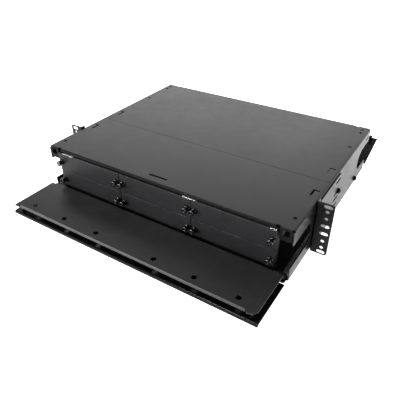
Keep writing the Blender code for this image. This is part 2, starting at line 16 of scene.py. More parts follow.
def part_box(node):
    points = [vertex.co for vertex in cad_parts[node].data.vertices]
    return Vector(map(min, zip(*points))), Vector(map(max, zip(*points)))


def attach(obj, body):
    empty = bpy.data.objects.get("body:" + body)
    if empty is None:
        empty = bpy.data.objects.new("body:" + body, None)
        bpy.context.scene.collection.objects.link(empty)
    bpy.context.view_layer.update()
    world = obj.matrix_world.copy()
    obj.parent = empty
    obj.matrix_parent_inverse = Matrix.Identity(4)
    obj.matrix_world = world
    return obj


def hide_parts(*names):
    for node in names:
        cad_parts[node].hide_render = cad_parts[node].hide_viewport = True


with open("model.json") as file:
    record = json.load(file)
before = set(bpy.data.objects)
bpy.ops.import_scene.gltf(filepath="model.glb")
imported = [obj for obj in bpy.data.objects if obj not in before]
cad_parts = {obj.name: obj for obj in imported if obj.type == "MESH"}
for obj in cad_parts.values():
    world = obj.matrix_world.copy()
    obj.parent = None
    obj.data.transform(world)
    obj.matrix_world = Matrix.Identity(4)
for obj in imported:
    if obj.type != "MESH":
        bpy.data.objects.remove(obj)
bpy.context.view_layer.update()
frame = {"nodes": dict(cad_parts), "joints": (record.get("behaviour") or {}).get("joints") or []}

MM = 0.001
X, Y, Z = Vector((1, 0, 0)), Vector((0, 1, 0)), Vector((0, 0, 1))


def box_mm(node):
    low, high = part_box(node)
    return low / MM, high / MM


def middle_mm(node):
    low, high = box_mm(node)
    return (low + high) / 2


# ---------------------------------------------------------------- places, from the frame

PAN_LOW, PAN_HIGH = box_mm("chassis_pan")
FRONT, REAR = box_mm("front_cover")[0].y, box_mm("rear_cover")[1].y
LEDGE_FRONT, LEDGE_REAR = PAN_LOW.y, PAN_HIGH.y
HALF = PAN_HIGH.x
WALL_TOP = PAN_HIGH.z
HEIGHT = box_mm("front_cover")[1].z
TRAY_LOW, TRAY_HIGH = box_mm("drawer_tray")
FRAME_LOW, FRAME_HIGH = box_mm("panel_frame")
SIDES = (("left", -1), ("right", 1))
PANELS = [f"blank_panel_r{row}c{col}" for row in (1, 2) for col in (1, 2, 3)]
PLUNGERS = [f"r{row}c{col}_{hand}" for row in (1, 2) for col in (1, 2, 3) for hand, _ in SIDES]
JOINTS = {joint["name"]: joint for joint in frame["joints"]}

# ---------------------------------------------------------------- sizes

SHEET = 1.5                   # case, covers and panels
THIN = 1.2                    # drawer and doors
EAR_SHEET = 2.0
EDGE = 0.22                   # rounding of a cut edge
BEND = 1.35                   # mid-sheet radius of a fold
COVER_BEND = 1.7
NOTCH_Z = (21.0, 59.0)
FRONT_NOTCH_Y = FRONT + 68.5
REAR_NOTCH_Y = REAR - 55.0
LEDGE_HALF = 213.5            # the bottom runs on under the hinges, between these
TAB_X = (197.0, 213.4)
TAB_LOW = 63.0
TAB_DEPTH = 18.0
FLANGE_LOW = 77.9             # lower edge of the covers' middle flange
RELIEF_X = (190.5, 196.6)
RELIEF_DEPTH = 3.6
LATCH_X = 205.5
LATCH_Z = 74.7
LATCH_SQUARE = 9.5
LATCH_HOLE_R = 3.4
HOOK_WIDTH = 2.8              # the L-shaped tie slots of the covers
HOOK_REACH = 9.0
HOOK_LENGTH = 17.0
COVER_HOLE_R = 2.8
COVER_SLOT = (-2.5, 14.5)     # X, and distance behind the front edge
COVER_SLOT_SIZE = (33.0, 3.4)
WALL_SLOT = (FRONT + 325.0, 70.0)
WALL_SLOT_SIZE = (16.0, 3.4)
SILL_INNER = 165.0            # the sills on the rear ledge run from here out to its ends
SILL_Z = (1.4, 9.2)
EAR_HOLE_X = 465.1 / 2
EAR_MID = 42.0                # height of the hole pattern's middle
EAR_SLOT_Z = (6.35, 38.1)
EAR_ROUND_Z = (19.0, 30.2)
EAR_SIDE_SLOT_Z = (25.5, 38.0, 48.5, 70.0)
EAR_SLOT_SIZE = (12.0, 5.6)
EAR_ROUND_R = 2.6
EAR_SIDE_SLOT_SIZE = (21.0, 4.2)
EAR_CORNER_R = 4.0
SCREW_HEAD = 4.0
SCREW_HEAD_R = 4.4
SCREW_SHANK_R = 1.4
APRON_TOP = 18.2
APRON_REAR = FRONT - 8.8
LIP_HALF = 199.0
LIP_FLAT = 4.5                # flat height of the lip
TRAY_NARROW = 205.3           # half the drawer's width at its steps
TRAY_CORNER_R = {-1: 1.5, 1: 11.0}        # the left front corner is nearly square
UPSTAND = 22.0                # height of the drawer's rear edge
FRAME_OPENING = (104.0, 25.0)
TIE_HOLE_R = 4.0
TIE_HOLE_BACK = 16.0          # the tie holes' distance behind the drawer's front edge
TIE_HOLE_X = (52.4, 117.6, 182.5)
PLUNGER_HOLE_R = 3.3
DOOR_HALF = 217.0
DOOR_U = (3.0, 80.3)
DOOR_V = (1.3, 2.65)
DOOR_LIP_V = -2.2
LATCH_U = 71.5
HINGE_X = 150.0
KNUCKLES = ((-20.0, -8.3), (8.3, 20.0))   # a hinge's two knuckles, from its middle
REAR_TILT = radians(15.0)

FLOOR_GLOW = 1.5
SKY = ((0.0, 1.8), (0.12, 1.6), (0.45, 1.35), (0.7, 0.6), (1.0, 0.3))   # (height, level)
BRIGHT_SIDE = (-0.16, 0.98, 0.0)          # the sky is brightest this way
SKY_SWING = (0.3, 0.95, 0.10, 1.35)       # how far a direction agrees with it, and the level there
LAMPS = (                     # name, place, aimed at, size, watts
    ("back_left", (-1.7, 2.5, 1.9), (0.0, 0.0, 0.0), (2.8, 1.8), 16.0),
    ("overhead", (-0.45, -0.40, 1.5), (0.0, 0.0, 0.0), (0.6, 0.25), 20.0),
    ("front_left", (-0.95, -2.0, 0.24), (0.0, -0.2, 0.0), (1.3, 0.4), 60.0),
)


# ---------------------------------------------------------------- materials

def add(tree, kind, props=None, **inputs):
    """Adds a shader node.  An input's value is a number, a colour or another node's output."""
    node = tree.nodes.new("ShaderNode" + kind)
    for key, value in (props or {}).items():
        setattr(node, key, value)
    for key, value in inputs.items():
        socket = node.inputs[key.replace("_", " ")]
        if isinstance(value, bpy.types.NodeSocket):
            tree.links.new(value, socket)
        else:
            socket.default_value = value
    return node


def noise(tree, coords, scale, detail=2.0, roughness=0.5):
    node = add(tree, "TexNoise", Vector=coords, Scale=scale, Detail=detail, Roughness=roughness)
    return node.outputs["Fac"]


def remap(tree, value, low, high, to_low, to_high):
    node = add(tree, "MapRange", Value=value, From_Min=low, From_Max=high, To_Min=to_low, To_Max=to_high)
    return node.outputs["Result"]


def maths(tree, operation, first, second):
    node = add(tree, "Math", {"operation": operation})
    for socket, value in zip(node.inputs, (first, second)):
        if isinstance(value, bpy.types.NodeSocket):
            tree.links.new(value, socket)
        else:
            socket.default_value = value
    return node.outputs["Value"]


def blend_colour(tree, factor, first, second):
    node = add(tree, "Mix", {"data_type": "RGBA"})
    for index, value in ((0, factor), (6, first), (7, second)):
        if isinstance(value, bpy.types.NodeSocket):
            tree.links.new(value, node.inputs[index])
        else:
            node.inputs[index].default_value = value if index == 0 else (*value, 1.0)
    return node.outputs[2]


def bump(tree, height, strength, distance, normal=None):
    node = add(tree, "Bump", Height=height, Strength=strength, Distance=distance)
    if normal is not None:
        tree.links.new(normal, node.inputs["Normal"])
    return node.outputs["Normal"]


def edge_mask(tree, radius):
    """1 on edges and 0 on flats, from how far a rounded normal leans from the true one."""
    rounded = add(tree, "Bevel", {"samples": 6}, Radius=radius).outputs["Normal"]
    plain = add(tree, "NewGeometry").outputs["Normal"]
    lean = add(tree, "VectorMath", {"operation": "DOT_PRODUCT"})
    tree.links.new(rounded, lean.inputs[0])
    tree.links.new(plain, lean.inputs[1])
    return remap(tree, lean.outputs["Value"], 0.995, 0.90, 0.0, 1.0)


def new_material(name):
    mat = bpy.data.materials.new(name)
    mat.use_nodes = True
    tree = mat.node_tree
    shader = tree.nodes["Principled BSDF"]
    coords = add(tree, "TexCoord").outputs["Object"]
    return mat, tree, shader, coords


def set_inputs(tree, shader, **inputs):
    for key, value in inputs.items():
        socket = shader.inputs[key.replace("_", " ")]
        if isinstance(value, bpy.types.NodeSocket):
            tree.links.new(value, socket)
        else:
            socket.default_value = value


def powder_coat(name, colour, rough, grain, wear_and_edge_highlight, index):
    """Textured black powder coat: orange peel, fine grit, cloudy sheen and edges painted lighter, partly as
    rubbed wear and partly as a painted highlight.
    """
    mat, tree, shader, coords = new_material(name)
    cloud = noise(tree, coords, 11.0, 4.0, 0.6)
    patch = noise(tree, coords, 60.0, 3.0, 0.55)
    grit = noise(tree, coords, 2600.0, 2.0)
    peel = noise(tree, coords, 700.0, 1.0)
    clouds = maths(tree, "ADD", cloud, maths(tree, "MULTIPLY", patch, 0.5))
    shade = remap(tree, clouds, 0.45, 1.05, 0.0, 1.0)
    dark = tuple(0.8 * value for value in colour)
    light = tuple(1.25 * value for value in colour)
    body = blend_colour(tree, shade, dark, light)
    speck = remap(tree, noise(tree, coords, 950.0, 0.0), 0.73, 0.78, 0.0, 0.35)
    body = blend_colour(tree, speck, body, tuple(3.0 * value for value in colour))
    # Edges painted lighter towards grey: partly rubbed wear, partly a painted highlight along the edges.
    rub_and_edge_highlight = maths(tree, "MULTIPLY", edge_mask(tree, 0.0006), remap(tree, patch, 0.35, 0.7, 0.15, 1.0))
    body = blend_colour(tree, maths(tree, "MULTIPLY", rub_and_edge_highlight, wear_and_edge_highlight), body, (0.22, 0.22, 0.225))
    roughness = remap(tree, maths(tree, "ADD", cloud, patch), 0.7, 1.3, rough - 0.04, rough + 0.05)
    fine = bump(tree, grit, grain, 0.00008)
    set_inputs(tree, shader, Base_Color=body, Roughness=roughness, IOR=index,
               Normal=bump(tree, peel, grain * 0.8, 0.00012, fine))
    return mat


def gloss_coat(name, colour, rough, index):
    """Smooth semi-gloss black with faint smears and dust."""
    mat, tree, shader, coords = new_material(name)
    smear = noise(tree, coords, 24.0, 5.0, 0.65)
    dust = noise(tree, coords, 1400.0, 1.0)
    light = tuple(1.5 * value for value in colour)
    body = blend_colour(tree, remap(tree, smear, 0.35, 0.7, 0.0, 1.0), colour, light)
    body = blend_colour(tree, remap(tree, dust, 0.72, 0.8, 0.0, 0.4), body, (0.16, 0.16, 0.16))
    # Edges painted lighter: partly rubbed wear, partly a painted highlight along the edges.
    rub_and_edge_highlight = maths(tree, "MULTIPLY", edge_mask(tree, 0.0005), 0.35)
    body = blend_colour(tree, rub_and_edge_highlight, body, (0.18, 0.18, 0.18))
    set_inputs(tree, shader, Base_Color=body, IOR=index,
               Roughness=remap(tree, smear, 0.3, 0.7, rough, rough + 0.09),
               Normal=bump(tree, noise(tree, coords, 420.0, 1.0), 0.05, 0.0001))
    return mat


def moulded(name, colour, rough):
    """Moulded plastic: a fine spark-eroded grain and a slightly cloudy gloss."""
    mat, tree, shader, coords = new_material(name)
    cloud = noise(tree, coords, 160.0, 3.0)
    grain = noise(tree, coords, 4200.0, 1.0)
    dark = tuple(0.8 * value for value in colour)
    light = tuple(1.2 * value for value in colour)
    # Edges painted lighter: partly rubbed wear, partly a painted highlight along the edges.
    wear_and_edge_highlight = tuple(min(1.0, 0.08 + 1.4 * value) for value in colour)
    body = blend_colour(tree, cloud, dark, light)
    body = blend_colour(tree, maths(tree, "MULTIPLY", edge_mask(tree, 0.0003), 0.2), body, wear_and_edge_highlight)
    set_inputs(tree, shader, Base_Color=body,
               Roughness=remap(tree, cloud, 0.3, 0.7, rough - 0.04, rough + 0.06),
               Normal=bump(tree, grain, 0.12, 0.00004))
    return mat


def bare_metal(name, colour, rough, stretch):
    """Rolled or plated metal with a drawn grain along one axis and a mottled finish."""
    mat, tree, shader, coords = new_material(name)
    mapping = add(tree, "Mapping", Vector=coords, Scale=stretch).outputs["Vector"]
    grain = noise(tree, mapping, 900.0, 3.0, 0.6)
    mottle = noise(tree, coords, 220.0, 3.0, 0.6)
    dark = tuple(0.72 * value for value in colour)
    body = blend_colour(tree, remap(tree, mottle, 0.3, 0.7, 0.0, 1.0), dark, colour)
    set_inputs(tree, shader, Base_Color=body, Metallic=1.0,
               Roughness=remap(tree, maths(tree, "ADD", grain, mottle), 0.7, 1.3, rough - 0.07, rough + 0.1),
               Normal=bump(tree, grain, 0.08, 0.00005))
    return mat


COAT = powder_coat("black_powder_coat", (0.010, 0.010, 0.011), 0.34, 0.16, 0.05, 1.30)
# Darker, duller copies of the coat for the faces that look along Y, the ends and the ears' fronts: painted
# shade.
SHADED_END_COAT = powder_coat("shaded_end_powder_coat", (0.006, 0.006, 0.006), 0.45, 0.16, 0.05, 1.12)
SHADED_EAR_COAT = powder_coat("shaded_ear_powder_coat", (0.008, 0.008, 0.008), 0.40, 0.16, 0.05, 1.22)
# The panels' edges are painted far lighter than the other coats' edges: mostly a painted highlight along the
# panel edges.
PANEL_COAT = powder_coat("panel_powder_coat", (0.014, 0.014, 0.015), 0.40, 0.16, 0.95, 1.18)
TRAY_COAT = powder_coat("tray_powder_coat", (0.019, 0.019, 0.020), 0.32, 0.14, 0.30, 1.29)
DOOR_COAT = gloss_coat("door_gloss_coat", (0.006, 0.006, 0.006), 0.13, 1.35)
NYLON = moulded("black_nylon", (0.006, 0.006, 0.006), 0.12)
WHITE_PLASTIC = moulded("white_plastic", (0.72, 0.72, 0.70), 0.42)
ZINC = bare_metal("zinc_steel", (0.60, 0.61, 0.62), 0.34, (1.0, 0.06, 1.0))
BLACK_OXIDE = bare_metal("black_oxide", (0.015, 0.015, 0.016), 0.36, (1.0, 1.0, 1.0))


# ---------------------------------------------------------------- outlines

def arc(center, radius, start, end, steps=6):
    """Points on a circle from `start` to `end` degrees, both included."""
    angles = [radians(start + (end - start) * i / steps) for i in range(steps + 1)]
    return [(center[0] + radius * cos(a), center[1] + radius * sin(a)) for a in angles]


def circle(center, radius, steps=24):
    return arc(center, radius, 0, 360, steps)[:-1]


def slot(center, length, width, steps=8):
    """A slot with round ends, long along the first coordinate."""
    reach = (length - width) / 2
    return (arc((center[0] + reach, center[1]), width / 2, -90, 90, steps)
            + arc((center[0] - reach, center[1]), width / 2, 90, 270, steps))


def round_rect(low, high, radius, steps=6):
    points = []
    corners = ((high[0], low[1], -90), (high[0], high[1], 0), (low[0], high[1], 90), (low[0], low[1], 180))
    for x, y, start in corners:
        center_x = x - radius if x == high[0] else x + radius
        center_y = y - radius if y == high[1] else y + radius
        points += arc((center_x, center_y), radius, start, start + 90, steps)
    return points


def on_side(points, side):
    """An outline of the right side, or the same on the left where `side` is -1."""
    return [(u * side, v) for u, v in points]


def mirrored(points):
    """Both halves of an outline that is symmetric about the second axis, given its right half."""
    return points + on_side(reversed(points), -1)


def wound(points, anticlockwise):
    area = sum(a[0] * b[1] - b[0] * a[1] for a, b in zip(points, points[1:] + points[:1]))
    points = [Vector(point) for point in points]
    return points if (area > 0) == anticlockwise else points[::-1]


def inset_loop(points, inset):
    """Moves a closed outline to its left by `inset`, mitred at each corner."""
    moved = []
    for before, point, after in zip(points[-1:] + points[:-1], points, points[1:] + points[:1]):
        first, second = (point - before).normalized(), (after - point).normalized()
        left_1, left_2 = Vector((-first.y, first.x)), Vector((-second.y, second.x))
        moved.append(point + (left_1 + left_2) * (inset / (1.0 + left_1.dot(left_2))))
    return moved


# ---------------------------------------------------------------- sheet metal

def flat_sheet(outline, holes, thick, edge=EDGE):
    """A plate in the XY plane, centred on Z = 0, with every cut edge rounded."""
    bm = bmesh.new()
    half = thick / 2
    chord = edge * (1 - cos(pi / 4))
    rings = [(edge, half), (chord, half - chord), (0, half - edge),
             (0, edge - half), (chord, chord - half), (edge, -half)]
    caps = ([], [])
    for points in [wound(outline, True)] + [wound(hole, False) for hole in holes]:
        loops = [[bm.verts.new((*point, height)) for point in inset_loop(points, inset)]
                 for inset, height in rings]
        count = len(points)
        for upper, lower in zip(loops, loops[1:]):
            for i in range(count):
                j = (i + 1) % count
                bm.faces.new((upper[i], lower[i], lower[j], upper[j]))
        for cap, loop in zip(caps, (loops[0], loops[-1])):
            cap += [bm.edges.get((loop[i], loop[(i + 1) % count])) for i in range(count)]
    for cap in caps:
        bmesh.ops.triangle_fill(bm, use_beauty=True, use_dissolve=False, edges=cap)
    return bm


def bend(bm, start, out, up, angle, radius, span, where=None, steps=6):
    """Rolls the sheet beyond a line towards `up`.

    The bend starts at the plane through `start`, a point on the sheet's middle, and takes up
    `span` of the flat sheet.  `where` limits it to some of the sheet.
    """
    start = Vector(start)
    for i in range(steps + 1):
        bmesh.ops.bisect_plane(bm, geom=bm.verts[:] + bm.edges[:] + bm.faces[:], dist=1e-4,
                               plane_co=start + out * (span * i / steps), plane_no=out)
    for vert in bm.verts:
        offset = vert.co - start
        reach, height = offset.dot(out), offset.dot(up)
        if reach <= 0 or (where and not where(vert.co)):
            continue
        turn = angle * min(reach / span, 1.0)
        along = out * cos(turn) + up * sin(turn)
        normal = up * cos(turn) - out * sin(turn)
        center = vert.co - out * reach + up * (radius - height)
        vert.co = center - normal * (radius - height) + along * max(reach - span, 0.0)


def fold(bm, corner, out, up, angle=pi / 2, radius=BEND, where=None):
    """A press-brake fold whose two flats would meet at `corner` if it were sharp."""
    reach = radius * tan(angle / 2)
    bend(bm, Vector(corner) - out * reach, out, up, angle, radius, 2 * reach, where)


def upright(bm):
    """Stands a flat pattern up: its first axis stays X, its second becomes Z and it faces -Y."""
    matrix = Matrix(((1, 0, 0, 0), (0, 0, -1, 0), (0, 1, 0, 0), (0, 0, 0, 1)))
    bmesh.ops.transform(bm, matrix=matrix, verts=bm.verts)


def shift(bm, offset):
    bmesh.ops.translate(bm, vec=Vector(offset), verts=bm.verts)


def piece(name, bm, material, body, nodes=(), pose=None, seam=35.0, shaded_face_material=None):
    """Turns a bmesh in millimetres into a piece that rides on a body and stands for CAD nodes.

    `shaded_face_material` is a darker copy of the coat, painted shade, that goes on the faces that look along
    Y.
    """
    bmesh.ops.remove_doubles(bm, verts=bm.verts, dist=1e-4)
    bmesh.ops.recalc_face_normals(bm, faces=bm.faces)
    bmesh.ops.transform(bm, matrix=Matrix.Scale(MM, 4), verts=bm.verts)
    if pose:
        bmesh.ops.transform(bm, matrix=pose, verts=bm.verts)
    mesh = bpy.data.meshes.new(name)
    bm.to_mesh(mesh)
    bm.free()
    mesh.materials.append(material)
    # Faces that look along Y get the darker copy of the coat: painted shade.
    if shaded_face_material:
        mesh.materials.append(shaded_face_material)
        for face in mesh.polygons:
            face.material_index = int(abs(face.normal.y) > 0.5)
    mesh.shade_smooth()
    mesh.set_sharp_from_angle(angle=radians(seam))
    obj = bpy.data.objects.new(name, mesh)
    bpy.context.scene.collection.objects.link(obj)
    normals = obj.modifiers.new("Weighted normals", "WEIGHTED_NORMAL")
    normals.keep_sharp = True
    normals.weight = 80
    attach(obj, body)
    if nodes:
        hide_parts(*nodes)
    return obj


# ---------------------------------------------------------------- turned pieces

def turned(profile, steps=32, star=None):
    """Revolves a profile of (radius, height) about Z.

    `star` = (first, last) draws those profile points as a cross, for a screw's drive recess.
    """
    bm = bmesh.new()
    rings = []
    for index, (radius, height) in enumerate(profile):
        if radius == 0:
            rings.append([bm.verts.new((0, 0, height))])
            continue
        ring = []
        for i in range(steps):
            angle = 2 * pi * i / steps
            reach = radius
            if star and star[0] <= index <= star[1]:
                reach *= 0.34 + 0.66 * abs(cos(2 * angle)) ** 5
            ring.append(bm.verts.new((reach * cos(angle), reach * sin(angle), height)))
        rings.append(ring)
    closed = profile[0][0] > 0
    pairs = list(zip(rings, rings[1:] + (rings[:1] if closed else [])))
    for first, second in pairs:
        for i in range(steps):
            j = (i + 1) % steps
            if len(first) == 1:
                bm.faces.new((first[0], second[i], second[j]))
            elif len(second) == 1:
                bm.faces.new((first[i], first[j], second[0]))
            else:
                bm.faces.new((first[i], first[j], second[j], second[i]))
    return bm


def aimed(bm, center, axis):
    """Moves a piece drawn about +Z so that +Z points along `axis` and its origin is at `center`."""
    turn = axis.to_track_quat("Z", "Y").to_matrix().to_4x4()
    bmesh.ops.transform(bm, matrix=Matrix.Translation(Vector(center)) @ turn, verts=bm.verts)
    return bm


def rounded_profile(points, radius=0.3, steps=3):
    """Rounds every corner of a (radius, height) profile except its two ends."""
    result = [points[0]]
    for before, point, after in zip(points, points[1:], points[2:]):
        before, point, after = Vector(before), Vector(point), Vector(after)
        reach = min(radius, (before - point).length / 2.01, (after - point).length / 2.01)
        start = point + (before - point).normalized() * reach
        end = point + (after - point).normalized() * reach
        for i in range(steps + 1):
            t = i / steps
            result.append(tuple(start * (1 - t) ** 2 + point * (2 * t * (1 - t)) + end * t ** 2))
    return result + [points[-1]]


def pan_head(name, center, axis, head_r, height, shank, body, nodes=()):
    """A pan-head screw with a cross recess: the head sits on `center`, the shank goes back from it."""
    shank_r, length = shank
    angles = [radians(15 * i) for i in range(5)]
    crown = [(head_r * cos(a), height * (0.35 + 0.65 * sin(a))) for a in angles]
    profile = [(0, -length), (shank_r, -length), (shank_r, 0), (head_r, 0)] + crown
    first = len(profile)
    profile += [(head_r * 0.46, height), (head_r * 0.36, height * 0.35), (0, height * 0.3)]
    bm = aimed(turned(profile, 32, star=(first, first + 1)), center, axis)
    return piece(name, bm, BLACK_OXIDE, body, nodes, seam=40.0)


# ---------------------------------------------------------------- case

def chassis_pan():
    """Bottom and side walls from one blank, a rounded cable notch at each corner, and the rear sills."""
    mid = HALF - SHEET / 2
    reach = mid + WALL_TOP - SHEET / 2        # flat distance from the middle to a wall's top edge

    def flat(z):
        return mid + z - SHEET / 2

    low, high = flat(NOTCH_Z[0]), flat(NOTCH_Z[1])
    center, radius = (low + high) / 2, (high - low) / 2
    corner = 2.0
    right = [(LEDGE_HALF - 2, LEDGE_FRONT), (LEDGE_HALF, LEDGE_FRONT + 2), (LEDGE_HALF, FRONT),
             (low - corner, FRONT)]
    right += arc((low - corner, FRONT + corner), corner, -90, 0, 4)[1:]
    right += arc((center, FRONT_NOTCH_Y - radius), radius, 180, 0, 20)
    right += arc((high + corner, FRONT + corner), corner, 180, 270, 4)
    right += arc((reach - corner, FRONT + corner), corner, -90, 0, 4)
    right += arc((reach - corner, REAR - corner), corner, 0, 90, 4)
    right += arc((high + corner, REAR - corner), corner, 90, 180, 4)
    right += arc((center, REAR_NOTCH_Y + radius), radius, 0, -180, 20)
    right += arc((low - corner, REAR - corner), corner, 0, 90, 4)
    right += [(LEDGE_HALF, REAR), (LEDGE_HALF, LEDGE_REAR - 2), (LEDGE_HALF - 2, LEDGE_REAR)]
    holes = []
    ear_screw = middle_mm("ear_screw_right")
    ground = middle_mm("ground_screw")
    for side in (-1, 1):
        along = slot((WALL_SLOT[0], flat(WALL_SLOT[1])), *WALL_SLOT_SIZE)
        holes.append([(u * side, v) for v, u in along])
        holes.append(circle((flat(ear_screw.z) * side, ear_screw.y), 1.9, 16))
    holes.append(circle((flat(ground.z), ground.y), 2.1, 16))
    bm = flat_sheet(mirrored(right), holes, SHEET)
    shift(bm, (0, 0, SHEET / 2))
    for side in (-1, 1):
        fold(bm, (mid * side, 0, SHEET / 2), X * side, Z)
    piece("pan_shell", bm, COAT, "chassis", ["chassis_pan"])
    for hand, side in SIDES:                  # a low sill on the rear ledge, at each end of it
        near, far = sorted((SILL_INNER * side, LEDGE_HALF * side))
        bm = flat_sheet(round_rect((near, SILL_Z[0]), (far, SILL_Z[1]), 0.8, 3), [], THIN)
        upright(bm)
        shift(bm, (0, LEDGE_REAR - 0.7, 0))
        piece(f"rear_sill_{hand}", bm, COAT, "chassis")


def cover(name, node, end, joint, tie_y, holes_y):
    """A top plate: rolled side edges, a middle flange and two latch tabs folded down at its end.

    `joint` is the edge where it meets the other cover, and `tie_y` the front of its tie slots.
    """
    inward = 1 if end < joint else -1
    mid_z = HEIGHT - SHEET / 2
    line = end + SHEET / 2 * inward           # the fold line, on the sheet's middle
    side_mid = HALF - SHEET / 2
    side_edge = side_mid + mid_z - (WALL_TOP + 0.35)

    def ahead(z):
        """Flat place of a height z on a flange that is folded down at the cover's end."""
        return line - (mid_z - z) * inward

    notch = end + RELIEF_DEPTH * inward
    right = [(RELIEF_X[0], ahead(FLANGE_LOW)), (RELIEF_X[0], notch), (RELIEF_X[1], notch),
             (RELIEF_X[1], ahead(TAB_LOW + 1.5)), (RELIEF_X[1] + 1.5, ahead(TAB_LOW)),
             (TAB_X[1] - 1.5, ahead(TAB_LOW)), (TAB_X[1], ahead(TAB_LOW + 1.5)),
             (TAB_X[1], end + 2.7 * inward), (side_edge - 1.0, end + 2.7 * inward),
             (side_edge, end + 3.7 * inward), (side_edge, joint)]
    holes = []
    reach = LATCH_SQUARE / 2
    left, back = LATCH_X - HOOK_REACH / 2, tie_y + HOOK_LENGTH
    hook = [(left, tie_y), (left + HOOK_WIDTH, tie_y), (left + HOOK_WIDTH, back - HOOK_WIDTH),
            (left + HOOK_REACH, back - HOOK_WIDTH), (left + HOOK_REACH, back), (left, back)]
    for side in (-1, 1):
        low, high = sorted((ahead(LATCH_Z - reach), ahead(LATCH_Z + reach)))
        holes.append(round_rect((LATCH_X * side - reach, low), (LATCH_X * side + reach, high), 0.8, 3))
        holes.append(on_side(hook, side))
        holes += [circle((LATCH_X * side, y), COVER_HOLE_R) for y in holes_y]
    if inward > 0:
        holes.append(slot((COVER_SLOT[0], end + COVER_SLOT[1]), *COVER_SLOT_SIZE))
    bm = flat_sheet(mirrored(right), holes, SHEET)
    shift(bm, (0, 0, mid_z))
    fold(bm, (0, line, mid_z), -Y * inward, -Z, radius=BEND, where=lambda co: abs(co.x) < TAB_X[1] + 0.5)
    for side in (-1, 1):
        fold(bm, (side_mid * side, 0, mid_z), X * side, -Z, radius=COVER_BEND)
    piece(name, bm, COAT, "chassis", [node], shaded_face_material=SHADED_END_COAT)
    for hand, side in SIDES:
        for index, y in enumerate(holes_y):
            seat = (LATCH_X * side, y, HEIGHT - 1.3)
            pan_head(f"{name}_screw_{hand}_{index + 1}", seat, Z, 2.2, 0.7, (SCREW_SHANK_R, 4.0), "chassis")

    for hand, side in SIDES:                  # the return wall of each corner box
        top = HEIGHT - SHEET - 0.1
        bm = flat_sheet(round_rect((0, TAB_LOW + 1.0), (TAB_DEPTH - 2.0, top), 1.2, 3), [], SHEET)
        upright(bm)
        bmesh.ops.transform(bm, matrix=Matrix.Rotation(pi / 2 * inward, 4, "Z"), verts=bm.verts)
        shift(bm, ((TAB_X[0] + SHEET / 2) * side, end + 2.0 * inward, 0))
        piece(f"{name}_box_{hand}", bm, COAT, "chassis")


def rack_ear(hand, side):
    """An L bracket: a slotted plate across the rail, folded into a slotted flange on the wall."""
    low, high = box_mm(f"rack_ear_{hand}")
    outer = max(abs(low.x), abs(high.x))
    wall = min(abs(low.x), abs(high.x)) + EAR_SHEET / 2
    face = low.y + EAR_SHEET / 2
    rear = wall - (high.y - face)             # flat place of the flange's rear edge
    shoulder = wall - 8.0
    top = high.z
    corner = outer - EAR_CORNER_R
    plate = arc((corner, low.z + EAR_CORNER_R), EAR_CORNER_R, -90, 0, 8)
    plate += arc((corner, top - EAR_CORNER_R), EAR_CORNER_R, 0, 90, 8)
    plate += arc((shoulder + 2, top - 2), 2, 90, 180, 4) + arc((shoulder - 2, 80.0), 2, 0, -90, 4)
    plate += arc((rear + 3, 75.0), 3, 90, 180, 4) + arc((rear + 3, low.z + 3), 3, 180, 270, 4)
    holes = []
    for sign in (-1, 1):
        holes += [slot((EAR_HOLE_X, EAR_MID + step * sign), *EAR_SLOT_SIZE) for step in EAR_SLOT_Z]
        holes += [circle((EAR_HOLE_X, EAR_MID + step * sign), EAR_ROUND_R) for step in EAR_ROUND_Z]
    holes += [slot((rear + 13.0, z), *EAR_SIDE_SLOT_SIZE) for z in EAR_SIDE_SLOT_Z]
    bm = flat_sheet(on_side(plate, side), [on_side(hole, side) for hole in holes], EAR_SHEET)
    upright(bm)
    shift(bm, (0, face, 0))
    fold(bm, (wall * side, face, 0), -X * side, Y, radius=2.0)
    piece(f"ear_{hand}", bm, COAT, "chassis", [f"rack_ear_{hand}"], shaded_face_material=SHADED_EAR_COAT)
    low, high = box_mm(f"ear_screw_{hand}")
    tip, top = sorted((abs(low.x), abs(high.x)))
    seat = top - SCREW_HEAD
    center = (low + high) / 2
    pan_head(f"ear_fixing_{hand}", (seat * side, center.y, center.z), X * side, SCREW_HEAD_R, SCREW_HEAD,
             (SCREW_SHANK_R, seat - tip), "chassis", [f"ear_screw_{hand}"])


def wall_rivets():
    """Low rivets on both side walls and the ground screw on the right one."""
    spots = ((218.7, 57.0), (218.7, 19.5), (62.0, 70.0), (285.0, 70.0), (30.0, 9.6), (150.0, 9.6), (262.0, 9.6))
    profile = rounded_profile([(0, -0.6), (1.5, -0.6), (1.5, 0.12), (1.0, 0.28), (0, 0.32)], 0.15)
    for hand, side in SIDES:
        for index, (back, z) in enumerate(spots):
            bm = aimed(turned(profile, 24), (HALF * side, FRONT + back, z), X * side)
            piece(f"wall_rivet_{hand}_{index + 1}", bm, BLACK_OXIDE, "chassis")
    low, high = box_mm("ground_screw")
    center = (low + high) / 2
    seat = high.x - SCREW_HEAD
    pan_head("earth_fixing", (seat, center.y, center.z), X, SCREW_HEAD_R, SCREW_HEAD, (1.6, seat - low.x),
             "chassis", ["ground_screw"])


# ---------------------------------------------------------------- drawer

